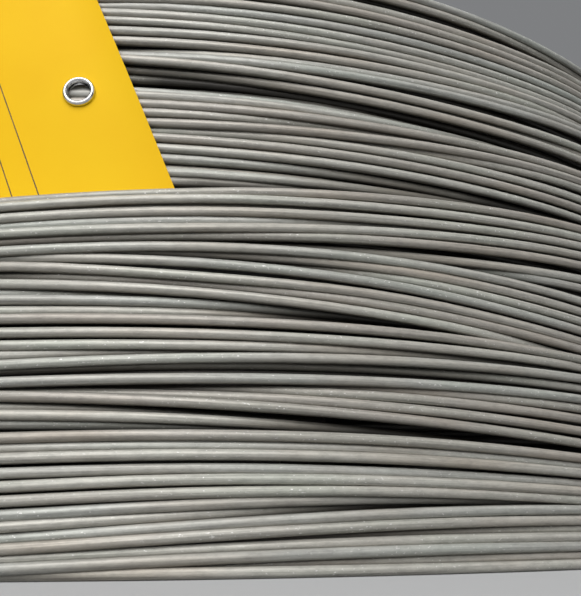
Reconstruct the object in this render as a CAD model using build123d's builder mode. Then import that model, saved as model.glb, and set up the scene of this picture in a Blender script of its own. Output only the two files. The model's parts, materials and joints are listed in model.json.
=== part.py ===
"""Coil of steel wire rod, bound with four steel straps and marked with a yellow tag.

The coil lies flat, with its bore upright. The origin is the centre of the coil's footprint on the
floor, and +Z is up, along the bore. Azimuth 0 faces -Y, and azimuths grow towards +X. All lengths
are in millimetres and all angles in degrees.
"""

from build123d import *
import os
from math import cos, degrees, floor, radians, sin, sqrt

# Rod and coil
rod_diameter = 5  # the smallest standard size of hot-rolled rod, and a common one of drawn wire
outside_diameter = 970
bore_diameter = 600
coil_height = 290
shoulder_size = 15  # how far the turns are drawn in at the four corners of the bundle
least_land = 6  # flat turns beside each shoulder, which the coil rests on
layers_per_crest = 9  # one layer in nine reaches the end of the bundle

# Last layer of turns, which was wound only part of the way up
last_layer_height = 155

# The turns of the wall run in bands, with a groove one rod deep between each two bands
lower_band_grooves = (53, 104)  # heights in the last layer
upper_band_grooves = (222,)  # heights above it
band_groove_half_width = 5

# Binding straps, drawn tight so that they sink into the bundle
strap_count = 4
first_strap_azimuth = 50
strap_width = 19
strap_thickness = 0.8
strap_bend_radius = 14  # inside of the strap, where it turns round a shoulder
strap_sink = 3.5  # how far the turns are squeezed in under the strap
strap_side_room = 2.5  # squeezed turns beside each edge of the strap
strap_clearance = 0.15  # between the strap and the turns

# Seal, crimped round the place where the two ends of a strap overlap
seal_length = 38
seal_wall = 0.8
seal_clearance = 0.12
seal_height = 220  # middle of the seal above the floor
seal_corner = 0.5  # flat along each folded edge
seal_end_room = 4  # squeezed turns above and below the seal
crimp_rows = 2
crimp_pitch = 14
crimp_reach = 2  # how far each notch bites in from the edge of the seal
tail_below_seal = 50
tail_above_seal = 30

# Tag, a card of yellow plastic that follows the wall of the coil
tag_length = 132  # along its printed edge, which leans to the left
tag_width = 93
tag_thickness = 0.5
tag_corner_radius = 4
tag_lean = 22.8
tag_azimuth = -9.2  # of the middle of the tag
tag_height = 199  # of the middle of the tag
tag_clearance = 0.3  # between the tag and the turns in front of it
tag_foot_room = 4  # between the lowest corner of the tag and the floor of its pocket
pocket_side_room = 9

# Eyelet, set in the margin of the tag beside its printed edge
eyelet_margin = 23.7  # from that edge to the middle of the eyelet
eyelet_hole_diameter = 8
eyelet_wall = 0.4
eyelet_front_diameter = 13.5
eyelet_front_rise = 1.3
eyelet_rim_flat = 0.9  # width of the top of its rolled rim
eyelet_back_diameter = 11.5
eyelet_back_thickness = 0.4
eyelet_clearance = 0.1  # round its barrel and under its flanges
eyelet_seat_gap = 0.3  # between its back flange and the turns behind it

# Radii that follow from the sizes above
bore_radius = bore_diameter / 2
outer_radius = outside_diameter / 2
upper_radius = outer_radius - rod_diameter  # outer wall above the last layer
tag_back_radius = upper_radius + eyelet_seat_gap + eyelet_back_thickness + eyelet_clearance
tag_front_radius = tag_back_radius + tag_thickness

# Turns on the two ends. Layers nest in each other's valleys, and those that reach the end of the
# bundle stand one rod proud of the deepest layer between them.
layer_spacing = rod_diameter * sqrt(3) / 2
ring_pitch = layers_per_crest * layer_spacing
ring_groove_depth = rod_diameter
octagon_corner = 1 - sqrt(0.5)  # share of a round that is cut off where two flats stand for it


def outward(azimuth):
    """Direction that points straight out of the coil at an azimuth."""
    return Vector(sin(radians(azimuth)), -cos(radians(azimuth)), 0)


def rightward(azimuth):
    """Direction to the right for someone who faces the coil at an azimuth."""
    return Vector(cos(radians(azimuth)), sin(radians(azimuth)), 0)


def section_plane(azimuth):
    """Upright plane through the axis: local x is the radius and local y is the height."""
    return Plane(origin=(0, 0, 0), x_dir=outward(azimuth), z_dir=-rightward(azimuth))


def end_profile(inner_land, outer_land, crest, root):
    """Profile of one end of the bundle: crests at the ring pitch, with a groove between each two."""
    grooves = floor((outer_land - inner_land - 2 * least_land) / ring_pitch)
    first_crest = (inner_land + outer_land - grooves * ring_pitch) / 2
    points = [(inner_land, crest)]
    for number in range(grooves):
        start = first_crest + number * ring_pitch
        points += [(start, crest), (start + ring_pitch / 2, root)]
    points += [(first_crest + grooves * ring_pitch, crest), (outer_land, crest)]
    return points


def band_profile(wall, groove_heights):
    """Profile of a stretch of the wall: the grooves between its bands, from the lowest upwards."""
    points = []
    for height in groove_heights:
        points += [
            (wall, height - band_groove_half_width),
            (wall - rod_diameter, height),
            (wall, height + band_groove_half_width),
        ]
    return points


def shoulder(wall, end, inward, upward):
    """Profile of a shoulder in two flats, from the end of the bundle to its wall."""
    cut = shoulder_size * octagon_corner
    return [(wall + inward * cut, end + upward * cut), (wall, end + upward * shoulder_size)]


# Loop of a strap, as its inside face runs round the bundle. Its outer run leans in a little,
# because it bridges the step above the last layer.
loop_corners = [
    (bore_radius + strap_sink, strap_sink),
    (outer_radius - strap_sink, strap_sink),
    (upper_radius - strap_sink, coil_height - strap_sink),
    (bore_radius + strap_sink, coil_height - strap_sink),
]
outer_run_low = Vector(*loop_corners[1])
outer_run_high = Vector(*loop_corners[2])
outer_run = (outer_run_high - outer_run_low).normalized()
seal_share = (seal_height - outer_run_low.Y) / (outer_run_high.Y - outer_run_low.Y)
seal_foot = outer_run_low + (outer_run_high - outer_run_low) * seal_share
strap_azimuths = [first_strap_azimuth + 360 / strap_count * number for number in range(strap_count)]


def seal_plane(azimuth, distance):
    """Plane along the outer run of a strap, at a distance outside the squeezed turns."""
    radius = seal_foot.X + distance * outer_run.Y
    height = seal_foot.Y - distance * outer_run.X
    normal = outward(azimuth) * outer_run.Y + Vector(0, 0, -outer_run.X)
    origin = outward(azimuth) * radius + Vector(0, 0, height)
    return Plane(origin=origin, x_dir=rightward(azimuth), z_dir=normal)


def tag_plane(distance, along=0, across=0):
    """Plane that faces straight out of the tag, at a place measured from the tag's middle."""
    lean = radians(tag_lean)
    to_the_right = across * cos(lean) - along * sin(lean)
    upwards = across * sin(lean) + along * cos(lean)
    azimuth = tag_azimuth + degrees(to_the_right / tag_front_radius)
    return Plane(
        origin=outward(azimuth) * distance + Vector(0, 0, tag_height + upwards),
        x_dir=rightward(azimuth) * cos(lean) + Vector(0, 0, sin(lean)),
        z_dir=outward(azimuth),
    )


# Reach of the leaning tag on each side of its middle, and the floor of the pocket for its foot
tag_half_width = (tag_width * cos(radians(tag_lean)) + tag_length * sin(radians(tag_lean))) / 2
tag_half_height = (tag_width * sin(radians(tag_lean)) + tag_length * cos(radians(tag_lean))) / 2
pocket_floor = tag_height - tag_half_height - tag_foot_room
pocket_half_angle = degrees((tag_half_width + pocket_side_room) / tag_front_radius)
eyelet_across = tag_width / 2 - eyelet_margin


def last_layer_section(azimuth, front_of_pocket=None):
    """Section of the last layer of turns, with or without the pocket for the tag behind it."""
    corner = rod_diameter * octagon_corner
    root = upper_radius - rod_diameter  # the section reaches one rod into the layers behind
    foot = pocket_floor - rod_diameter
    with BuildSketch(section_plane(azimuth)) as section:
        with BuildLine():
            Polyline(
                (root, foot),
                (outer_radius, foot),
                (outer_radius, last_layer_height - corner),
                (outer_radius - corner, last_layer_height),
                (upper_radius + corner, last_layer_height),
                (upper_radius, last_layer_height - corner),
                (root, last_layer_height - corner),
                close=True,
            )
        make_face()
        if front_of_pocket:
            with Locations((front_of_pocket, pocket_floor)):
                Rectangle(
                    front_of_pocket - root,
                    last_layer_height - pocket_floor,
                    align=(Align.MAX, Align.MIN),
                    mode=Mode.SUBTRACT,
                )
    return section.sketch


# Bundle of turns, turned round the bore
blank_margin = 4 * shoulder_size  # how much larger than the bundle the blank of a channel is
bore_land = bore_radius + shoulder_size
lower_land = outer_radius - shoulder_size
upper_land = upper_radius - shoulder_size
with BuildPart() as coil:
    with BuildSketch(section_plane(0)):
        with BuildLine():
            Polyline(
                *end_profile(bore_land, lower_land, 0, ring_groove_depth),
                *shoulder(outer_radius, 0, -1, 1),
                *band_profile(outer_radius, lower_band_grooves),
                (outer_radius, pocket_floor),
                (upper_radius, pocket_floor),
                *band_profile(upper_radius, upper_band_grooves),
                *reversed(shoulder(upper_radius, coil_height, -1, -1)),
                *reversed(
                    end_profile(bore_land, upper_land, coil_height, coil_height - ring_groove_depth)
                ),
                *shoulder(bore_radius, coil_height, 1, -1),
                *reversed(shoulder(bore_radius, 0, 1, 1)),
                close=True,
            )
        make_face()
    revolve(axis=Axis.Z)

    # Last layer of turns. The foot of the tag is tucked into a pocket behind it.
    pocket_start = tag_azimuth - pocket_half_angle
    pocket_end = tag_azimuth + pocket_half_angle
    pocket_front = tag_front_radius + tag_clearance
    revolve(
        last_layer_section(pocket_start, pocket_front),
        axis=Axis.Z,
        revolution_arc=pocket_end - pocket_start,
    )
    revolve(
        last_layer_section(pocket_end), axis=Axis.Z, revolution_arc=360 - pocket_end + pocket_start
    )

    # Channels that the straps press into the turns, with more room behind each seal
    for azimuth in strap_azimuths:
        with BuildSketch(section_plane(azimuth)):
            with Locations(((bore_radius + outer_radius) / 2, coil_height / 2)):
                Rectangle(outer_radius - bore_radius + blank_margin, coil_height + blank_margin)
            with BuildLine():
                FilletPolyline(*loop_corners, radius=strap_bend_radius, close=True)
            make_face(mode=Mode.SUBTRACT)
        extrude(amount=strap_width / 2 + strap_side_room, both=True, mode=Mode.SUBTRACT)
        with BuildSketch(seal_plane(azimuth, 0)):
            Rectangle(strap_width + 2 * strap_side_room, seal_length + 2 * seal_end_room)
        extrude(amount=-(seal_wall + seal_clearance), mode=Mode.SUBTRACT)

os.makedirs("parts", exist_ok=True)
coil.part.label = "coil"
export_step(coil.part, "parts/coil.step")


def crimp_notches(azimuth):
    """Outline of the V-shaped notches that the crimps of a seal bite out of both of its edges."""
    side = 2 * crimp_reach * sqrt(0.5)
    with BuildSketch(seal_plane(azimuth, strap_clearance + strap_thickness)) as notches:
        with GridLocations(seal_outer_width, crimp_pitch, 2, crimp_rows):
            Rectangle(side, side, rotation=45)
    return notches.sketch


# Straps, each a closed loop through the bore with its two ends overlapping under the seal
seal_opening_width = strap_width + 2 * seal_clearance
seal_opening_depth = 2 * (strap_thickness + seal_clearance)
seal_outer_width = seal_opening_width + 2 * seal_wall
seal_outer_depth = seal_opening_depth + 2 * seal_wall
for number, azimuth in enumerate(strap_azimuths, start=1):
    with BuildPart() as strap:
        with BuildSketch(section_plane(azimuth)):
            with BuildLine():
                FilletPolyline(*loop_corners, radius=strap_bend_radius, close=True)
            make_face()
            offset(amount=strap_clearance + strap_thickness)
            with BuildLine():
                FilletPolyline(*loop_corners, radius=strap_bend_radius, close=True)
                offset(amount=strap_clearance, mode=Mode.REPLACE)
            make_face(mode=Mode.SUBTRACT)
        extrude(amount=strap_width / 2, both=True)
        with BuildSketch(seal_plane(azimuth, strap_clearance)):
            with Locations((0, (tail_above_seal - tail_below_seal) / 2)):
                Rectangle(strap_width, tail_below_seal + seal_length + tail_above_seal)
        extrude(amount=2 * strap_thickness)
        extrude(crimp_notches(azimuth), amount=seal_outer_depth, both=True, mode=Mode.SUBTRACT)
    strap.part.label = f"strap_{number}"
    export_step(strap.part, f"parts/strap_{number}.step")

# Seals, each a folded sleeve with notches crimped into both of its edges
for number, azimuth in enumerate(strap_azimuths, start=1):
    middle = seal_plane(azimuth, strap_clearance + strap_thickness)
    lower_end = Plane(
        origin=middle.origin - middle.y_dir * seal_length / 2,
        x_dir=middle.x_dir,
        z_dir=middle.y_dir,
    )
    with BuildPart() as seal:
        with BuildSketch(lower_end) as fold:
            Rectangle(seal_outer_width, seal_outer_depth)
            chamfer(fold.vertices(), length=seal_corner)
            Rectangle(seal_opening_width, seal_opening_depth, mode=Mode.SUBTRACT)
        extrude(amount=seal_length)
        extrude(crimp_notches(azimuth), amount=seal_outer_depth, both=True, mode=Mode.SUBTRACT)
    seal.part.label = f"seal_{number}"
    export_step(seal.part, f"parts/seal_{number}.step")

# Tag: its outline, punched out of a thin shell that follows the wall of the coil
punch_reach = max(tag_length, tag_width) / 2  # deeper than the bow of the shell over the tag
eyelet_hole_radius = eyelet_hole_diameter / 2
eyelet_barrel_radius = eyelet_hole_radius + eyelet_wall
with BuildPart() as tag:
    with BuildSketch(section_plane(tag_azimuth - pocket_half_angle)):
        with Locations((tag_back_radius, tag_height - tag_half_height)):
            Rectangle(tag_thickness, 2 * tag_half_height, align=(Align.MIN, Align.MIN))
    revolve(axis=Axis.Z, revolution_arc=2 * pocket_half_angle)
    with BuildSketch(tag_plane(tag_front_radius + punch_reach)):
        RectangleRounded(tag_width, tag_length, tag_corner_radius)
    extrude(amount=-2 * punch_reach, mode=Mode.INTERSECT)
    with BuildSketch(tag_plane(tag_front_radius + punch_reach, across=eyelet_across)):
        Circle(eyelet_barrel_radius + eyelet_clearance)
    extrude(amount=-2 * punch_reach, mode=Mode.SUBTRACT)
tag.part.label = "tag"
export_step(tag.part, "parts/tag.step")

# Eyelet: a barrel through the tag, with a rolled rim in front and a flat flange behind
eyelet_place = tag_plane(tag_back_radius, across=eyelet_across)
eyelet_section = Plane(
    origin=eyelet_place.origin, x_dir=eyelet_place.x_dir, z_dir=-eyelet_place.y_dir
)
rim_base = tag_thickness + eyelet_clearance
rim_top = rim_base + eyelet_front_rise
rim_middle = (eyelet_hole_radius + eyelet_front_diameter / 2) / 2
flange_front = -eyelet_clearance
flange_back = -eyelet_clearance - eyelet_back_thickness
with BuildPart() as tag_eyelet:
    with BuildSketch(eyelet_section):
        with BuildLine():
            Polyline(
                (eyelet_hole_radius, flange_back),
                (eyelet_back_diameter / 2, flange_back),
                (eyelet_back_diameter / 2, flange_front),
                (eyelet_barrel_radius, flange_front),
                (eyelet_barrel_radius, rim_base),
                (eyelet_front_diameter / 2, rim_base),
                (rim_middle + eyelet_rim_flat / 2, rim_top),
                (rim_middle - eyelet_rim_flat / 2, rim_top),
                (eyelet_hole_radius, rim_base),
                close=True,
            )
        make_face()
    revolve(axis=Axis(eyelet_place.origin, eyelet_place.z_dir))
tag_eyelet.part.label = "tag_eyelet"
export_step(tag_eyelet.part, "parts/tag_eyelet.step")
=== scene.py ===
# %% [markdown]
# # A coil of steel wire rod
#
# The real thing is one long steel rod, wound by the hundred turns round a drum, then slid off and
# bound with four straps. A yellow tag is tucked behind the last turns. The solids of the coil come
# ready made, as a plain ring with its bore. In this lesson we dress that ring: we place the turns
# that show, one by one, and give each surface its finish.

# %% Load the ready-made solids
import json
from math import cos, pi, radians, sin

import bmesh
import bpy
import numpy as np
from mathutils import Matrix, Vector


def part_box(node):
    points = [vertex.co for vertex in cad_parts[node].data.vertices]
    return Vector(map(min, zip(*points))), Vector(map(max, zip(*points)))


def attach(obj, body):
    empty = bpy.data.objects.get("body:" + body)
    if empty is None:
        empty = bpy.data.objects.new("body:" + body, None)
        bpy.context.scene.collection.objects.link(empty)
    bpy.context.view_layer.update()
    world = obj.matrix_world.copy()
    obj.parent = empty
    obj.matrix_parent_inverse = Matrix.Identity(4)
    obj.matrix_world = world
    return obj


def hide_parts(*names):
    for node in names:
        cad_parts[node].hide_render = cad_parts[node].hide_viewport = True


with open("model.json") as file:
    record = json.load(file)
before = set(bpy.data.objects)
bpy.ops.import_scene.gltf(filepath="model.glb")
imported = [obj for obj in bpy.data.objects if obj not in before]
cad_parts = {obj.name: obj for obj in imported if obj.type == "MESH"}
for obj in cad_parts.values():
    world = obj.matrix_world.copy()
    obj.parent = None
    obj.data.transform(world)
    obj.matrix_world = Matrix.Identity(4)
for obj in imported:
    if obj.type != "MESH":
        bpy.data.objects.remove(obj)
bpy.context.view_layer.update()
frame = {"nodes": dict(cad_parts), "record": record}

print("solids of the coil:", sorted(frame["nodes"]))

# %% [markdown]
# ## Sizes
#
# All sizes here are in millimetres, because a rod is 5 of them, and only the finished meshes are
# in metres. The size of the whole coil is read from the solids, so it can't drift away from them.
# The size of the bore is in their record.
#
# Rod is sold by its nominal size. It may be rolled a few tenths of a millimetre under that, and in
# the picture the turns look that thin beside the places they take up.

# %% Sizes of the rod and the coil
mm = 0.001
rod_diameter = 5
rolled_diameter = 4.6
rod_radius = rolled_diameter / 2
_, coil_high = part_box("coil")
outer_radius = coil_high.x / mm
coil_height = coil_high.z / mm
bore = next(mount for mount in frame["record"]["mounts"] if mount["name"] == "bore")
bore_radius = bore["dims"]["r_mm"]
print(f"coil: {2 * outer_radius:.0f} mm outside, {2 * bore_radius:.0f} mm bore, {coil_height:.0f} mm high")

# %% [markdown]
# ## The camera
#
# The picture was taken from close by and low down, looking a little to the right and up. A camera is
# easiest to aim by its own three axes: where it looks, what is right and what is up. The place and
# the angles below were fitted to the curves that the turns make in the picture. Azimuth 0 is
# the side of the coil that faces -Y, and azimuths grow towards +X.

# %% Camera
picture_width, picture_height = 581, 596
focal_pixels = 700
camera_place = Vector((0, -760, 14)) * mm
camera_turn = radians(8.2)
camera_tilt = radians(19.0)
camera_roll = radians(-0.5)

look = Vector((sin(camera_turn) * cos(camera_tilt), cos(camera_turn) * cos(camera_tilt), sin(camera_tilt)))
level_right = Vector((cos(camera_turn), -sin(camera_turn), 0))
level_up = level_right.cross(look)
camera_right = level_right * cos(camera_roll) + level_up * sin(camera_roll)
camera_up = level_up * cos(camera_roll) - level_right * sin(camera_roll)

camera = bpy.data.objects.new("camera", bpy.data.cameras.new("camera"))
camera.data.sensor_width = 36
camera.data.lens = focal_pixels / max(picture_width, picture_height) * camera.data.sensor_width
camera.data.clip_start = 0.01
camera.matrix_world = Matrix.Translation(camera_place) @ Matrix(
    (camera_right, camera_up, -look)
).transposed().to_4x4()
bpy.context.scene.collection.objects.link(camera)
bpy.context.scene.camera = camera
print(f"camera: {camera.data.lens:.1f} mm lens, {-camera_place.y:.2f} m from the axis of the coil")

# %% [markdown]
# ## Turns that lie on each other
#
# A wound coil looks the way it does because its turns wander. They run side by side in bundles, the
# bundles cross, and a turn that meets another has to pass under it. Drawing each turn by
# hand would take days, and turns at random would run through each other. So we place them by a
# simple rule, from the outside in: the turn that stands proudest comes first, and each later turn
# lies as far out as it would like to, unless a turn that is already there is in its way. Then it
# slips below that one.
#
# The rule is worked out at a number of stations round the coil. A rod is stiff, so where it slips
# below another at one station, it is drawn down gently at the stations beside it too.

# %% Stations round the coil
stations = 160
azimuths = np.arange(stations) * 360 / stations
rows = np.arange(stations)[:, None]
easiest_bend = 0.5  # how fast a stiff rod can swing outwards again, per station
bend_passes = 40


def ease_round(values, passes):
    """Evens out values from station to station, all the way round."""
    for _ in range(passes):
        values = (np.roll(values, 1) + 2 * values + np.roll(values, -1)) / 4
    return values


def bend_gently(level):
    """Lowers a level where a stiff rod couldn't rise so fast beside a low place."""
    lowest = level
    for _ in range(bend_passes):
        beside = (np.roll(level, 1) + np.roll(level, -1)) / 2
        level = np.minimum(lowest, beside + easiest_bend)
    return ease_round(level, 1)


print(f"{stations} stations, {2 * pi * outer_radius / stations:.0f} mm apart on the wall")

# %% [markdown]
# ## A side of the coil as a map
#
# The coil has four sides: the wall, the bore and the two ends. Each is unrolled into a map that has a
# row of small cells for each station. A turn is a path over the map with a level, which says how far
# out the middle of the rod lies. The map also has a ceiling, for whatever else holds turns down.

# %% How a turn finds its place on a side
cell = 0.5
spare_cells = 12  # beyond each edge of a side
touch_distance = 3.9  # under a rod's diameter, because tight turns press together
touch_slack = 0.01
slip_passes = 12
far_away = 1e6  # further than any level


class Side:
    """One side of the bundle. Levels count outwards, and places run across the side."""

    def __init__(self, low, high):
        self.low, self.high = low, high
        self.cells = int(round((high - low) / cell)) + 1 + 2 * spare_cells
        self.ceiling = np.full((stations, self.cells), far_away)
        self.dip = lambda path: 0  # how far below a layer's level its turns lie at a path
        self.turns = []

    def columns(self, path, reach):
        """Cells within reach of a path at each station, and how far aside of it they lie."""
        span = int(reach / cell)
        first = np.round((path - self.low) / cell).astype(int) + spare_cells
        columns = np.clip(first[:, None] + np.arange(-span, span + 1), 0, self.cells - 1)
        return columns, (columns - spare_cells) * cell + self.low - path[:, None]

    def below_ceiling(self, path, level):
        """A level, lowered where the rod wouldn't fit below the ceiling."""
        columns, _ = self.columns(path, rod_radius)
        return np.minimum(level, self.ceiling[rows, columns].min(axis=1) - rod_radius)

    def place(self, path, wanted, group):
        """Places one turn along a path, at the wanted level or below what is in its way."""
        path = np.clip(path, self.low + rod_radius, self.high - rod_radius)
        level = self.below_ceiling(path, wanted)
        if self.turns:
            apart = np.array([turn["path"] for turn in self.turns]) - path
            levels = np.array([turn["level"] for turn in self.turns])
            room = np.sqrt(np.maximum(touch_distance**2 - apart**2, 0))
            for _ in range(slip_passes):
                in_the_way = np.abs(levels - level) < room - touch_slack
                level = np.minimum(level, np.where(in_the_way, levels - room, far_away).min(axis=0))
        self.turns.append({"group": group, "path": path, "level": bend_gently(level)})


# %% [markdown]
# ## Wandering bundles
#
# Where no picture tells us how the turns run, they wander at random. A few slow waves added up give
# a wander that closes on itself after one turn. Neighbouring bundles share most of their wander, as
# they do on a real coil, because each was laid against the one before. The random numbers come from
# one seeded source, so the coil is the same each time.

# %% Layers of wandering bundles
random = np.random.default_rng(7)
wave_fall = 0.7  # the waves get lower by this power of their number
fewest_in_bundle, most_in_bundle = 2, 7
tightest_pitch, widest_pitch = 0.97, 1.04  # in rod diameters
drift_kept, drift_added = 0.75, 0.66  # from the bundle before, and of this bundle's own
turn_wander = 0.2


def wander(amount, waves):
    """Slow random waves round the coil, about as high as the amount."""
    total = np.zeros(stations)
    for wave in range(1, waves + 1):
        phase = random.uniform(0, 2 * pi)
        total += random.normal() * np.cos(wave * np.radians(azimuths) + phase) / wave**wave_fall
    return amount * total / np.sqrt(waves / 2)


def wind_layer(side, group, level, roughness, drift_amount, widest_gap):
    """Fills a side with bundles of turns, of which the proudest are placed first."""
    place = side.low + rod_radius
    drift = wander(drift_amount, waves=5)
    bundles = []
    while place < side.high - rod_radius:
        drift = drift_kept * drift + drift_added * wander(drift_amount, waves=5)
        paths = []
        for _ in range(random.integers(fewest_in_bundle, most_in_bundle + 1)):
            if place < side.high - rod_radius:
                paths.append(place + drift + wander(turn_wander, waves=3))
                place += rod_diameter * random.uniform(tightest_pitch, widest_pitch)
        bundles.append((level - roughness * abs(random.normal()), paths))
        place += random.uniform(0, widest_gap)
    for wanted, paths in sorted(bundles, key=lambda bundle: -bundle[0]):
        swell = wander(roughness / 3, waves=4)
        for path in paths[::2] + paths[1::2]:
            side.place(path, wanted + swell - side.dip(path), group)


# %% [markdown]
# ## The side that the picture shows
#
# Here the turns follow the picture. For each one we note how far out it lies and how high it
# appears at five azimuths. Where it dives under its neighbours, its level has five values too. Turns
# that run together are kept in one bundle, because round the rest of the coil each bundle drifts at
# random as a whole. The bundles below go from the bottom of the wall to its top.

# %% Bundles of the outer wall
shown_azimuths = np.array([-10, 0, 10, 20, 28])
# Each row is one rod: its level, or its five levels, and then its five heights
wall_bundles = {
    "foot": [
        (481.3, (2.3, 2.3, 2.3, 2.3, 2.3)),
        ((477, 479, 480.5, 480.5, 480.5), (2.5, 4.4, 5.7, 6.1, 6.1)),
        (481.5, (3.6, 7.2, 9.4, 9.9, 9.9)),
        ((480.5, 480.5, 481.4, 481.5, 481.5), (6.9, 10.4, 13.1, 13.9, 13.9)),
        ((478, 480, 480.5, 480.8, 480.8), (8.5, 12.4, 16.1, 17.4, 17.4)),
        (481.5, (10.2, 15.2, 19.5, 21.1, 21.1)),
        (481.5, (13.6, 18.9, 23.5, 25.6, 25.6)),
    ],
    "under_arch": [
        ((481.5, 480.8, 480.3, 477, 477), (17.6, 22.6, 27, 27.5, 27)),
        ((481.5, 481.2, 480, 477, 477), (22, 26.6, 29.6, 29, 28)),
    ],
    "arch": [
        (481.6, (27, 31, 32, 30.1, 28.3)),
        (481.8, (32.6, 36.4, 36.2, 34.1, 32.4)),
        (481, (37.7, 40.2, 39.6, 37.4, 35.6)),
        ((479.5, 480, 479.5, 479, 479), (40.3, 42.6, 42, 39.7, 37.7)),
        (481.8, (43.4, 45.6, 45.1, 42.5, 40.2)),
        ((480, 480.6, 480.3, 480, 480), (47.3, 49, 48.7, 46, 43.8)),
        (481.8, (51.1, 52.9, 52.5, 49.4, 47)),
    ],
    "diving": [
        ((481, 478, 474, 473, 473), (57, 56.2, 53, 49, 45)),
        ((481, 480.6, 475, 473, 473), (60.6, 59.2, 55, 50, 46)),
        ((479.3, 476, 473, 473, 473), (63.6, 61, 57, 52, 48)),
    ],
    "falling": [
        (481.5, (68, 65.6, 61.9, 57, 53.3)),
        ((478.5, 480, 481.2, 481.3, 481.3), (68.8, 68.4, 66.4, 62.6, 59.6)),
        ((477, 479, 481, 481, 481), (70.8, 71, 70.9, 68.4, 66.2)),
        ((476, 477, 479, 480.3, 480.3), (72, 72.4, 73.3, 72.6, 71.8)),
    ],
    "low_level": [
        (481.6, (72.6, 75.3, 77, 77.7, 77.4)),
        ((480, 478.5, 476, 475, 475), (76, 78, 79.3, 80, 80)),
        ((478, 478.5, 476.5, 479.3, 479.3), (77.5, 81.2, 82.3, 83, 82.6)),
        (481.5, (79.6, 83.7, 86.7, 87.8, 88.3)),
        ((480.3, 478.5, 476, 475, 475), (83.3, 86, 87.5, 88, 88)),
        ((480.8, 480.8, 478.3, 476, 476), (87.8, 88.8, 89.6, 90.2, 90.5)),
        (481, (93.4, 93.9, 93.9, 93.9, 93.7)),
        (481.4, (98.7, 99.1, 99.3, 98.2, 96.8)),
        ((479.5, 479, 475, 474, 474), (102.3, 102.1, 101.5, 100, 98)),
    ],
    "in_wedge": [
        ((480.6, 479.8, 474.5, 474, 474), (107.2, 106.4, 104, 101.5, 99.5)),
        ((479.5, 478, 474, 474, 474), (110.3, 108.6, 106, 103, 100)),
    ],
    "mid_fall": [
        (481.4, (114.6, 112, 106.9, 100.8, 96.6)),
        ((480.6, 479.8, 480.8, 481.2, 481.2), (118.3, 115.5, 111.4, 104.9, 101)),
    ],
    "middle": [
        (481.4, (122.7, 118.5, 116.6, 109.4, 105)),
        ((480, 482.3, 482.3, 482.3, 482.3), (125.6, 125.2, 121.9, 114.9, 111)),
        ((476, 478, 481, 482, 482), (126.6, 127, 125.7, 120.1, 116.6)),
        ((477.5, 480, 481.8, 482, 482), (127.6, 129.4, 129.2, 125.3, 122)),
        (482.4, (128.4, 132.6, 133.4, 131, 128.6)),
    ],
    "fan": [
        ((475, 476, 478, 481, 481.3), (130, 132, 133.5, 136, 138.6)),
        ((475, 475.5, 479, 481.2, 481.5), (131, 133.5, 135, 139.9, 144.8)),
    ],
    "over_tag": [
        ((482, 481.4, 482.3, 482.4, 482.4), (133.7, 137.9, 142.3, 148, 152.8)),
        (482.4, (136.4, 140.6, 146.9, 153.3, 158.6)),
        ((482, 481.6, 478.5, 477, 477), (139.9, 143.9, 149, 155, 160)),
        (482.4, (143.3, 148.9, 152.8, 158.7, 164.6)),
        ((480, 479.3, 477, 477, 477), (145.8, 151.6, 155.5, 161, 167)),
        (482.5, (149, 155.4, 159, 164.4, 169.6)),
        (482.4, (152, 158.6, 164, 170.1, 174.7)),
    ],
    "level": [
        ((479, 480, 477, 476, 476), (161.5, 162.6, 164, 167, 171)),
        ((480, 480.3, 479, 476, 476), (166.5, 166.8, 167.2, 169, 172)),
        ((479, 479.4, 478.6, 476, 475), (170.2, 169.8, 169, 170, 173)),
        ((478, 477.8, 475.5, 474.5, 474.5), (174, 173.6, 173, 173, 175.5)),
        ((479.2, 479.4, 479.2, 478.7, 478.5), (178.8, 178.8, 178.5, 178.9, 180.7)),
        (480, (184, 184, 184, 184.9, 187.3)),
        ((478.5, 478.7, 479.5, 480, 480), (188.4, 188.5, 189, 190.3, 193.5)),
    ],
    "crossing": [
        ((476, 477, 479.3, 480, 480), (189.5, 190.5, 192, 196.4, 201)),
        (481, (190.5, 192, 195.3, 200.8, 206)),
        ((479.8, 480, 479.2, 478, 477), (193.3, 194.6, 197.5, 202, 207)),
        ((480.5, 480.5, 480, 479, 478.5), (196, 197.6, 199.3, 203.3, 208.3)),
        (480.6, (201.6, 201.8, 201.8, 205.6, 210.6)),
    ],
    "below_gap": [
        ((480, 480, 479.5, 476, 475), (206, 205.9, 205.3, 206, 208)),
        ((480, 480, 479.5, 476, 475), (209.7, 209.1, 208.3, 207.8, 209)),
        (474.2, (215, 213.8, 212.2, 211.8, 213)),
    ],
    "upper_edge": [
        ((474, 476, 479.6, 480, 480), (220.5, 218.6, 216.4, 216.8, 221)),
        ((474, 474.5, 476, 478, 479), (222.5, 221.5, 219.8, 220.4, 225)),
        (480.3, (226.8, 224.3, 222.4, 223.4, 229.2)),
    ],
    "upper": [
        (480.3, (229.6, 227.9, 229, 232.8, 239.2)),
        (480, (232.4, 231.5, 232.8, 236.8, 243.2)),
        ((479.4, 479.4, 480, 480, 480), (235.6, 235.7, 237.2, 241, 246.8)),
        (480.2, (241.4, 241.3, 243.2, 245.6, 250.4)),
        (479.8, (247.4, 247.2, 248.1, 249.5, 254.2)),
        (480, (251.4, 251.3, 251.9, 253.6, 258.2)),
        ((478.5, 479.5, 480, 480, 480), (255, 256, 257.6, 259.2, 263.6)),
        (480.1, (258, 261.6, 263.4, 265, 268.8)),
        (480, (266, 267.6, 269.1, 269.6, 273.7)),
        (479.8, (271, 272, 273.2, 273.6, 278)),
        (475.5, (276, 277, 278.3, 278.3, 283)),
    ],
    "top": [
        (480.8, (280.5, 281.2, 282, 283, 284)),
        (482, (285.5, 286.4, 287.7, 288.5, 290)),
    ],
}
print("turns followed in the picture:", sum(len(rods) for rods in wall_bundles.values()))

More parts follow.
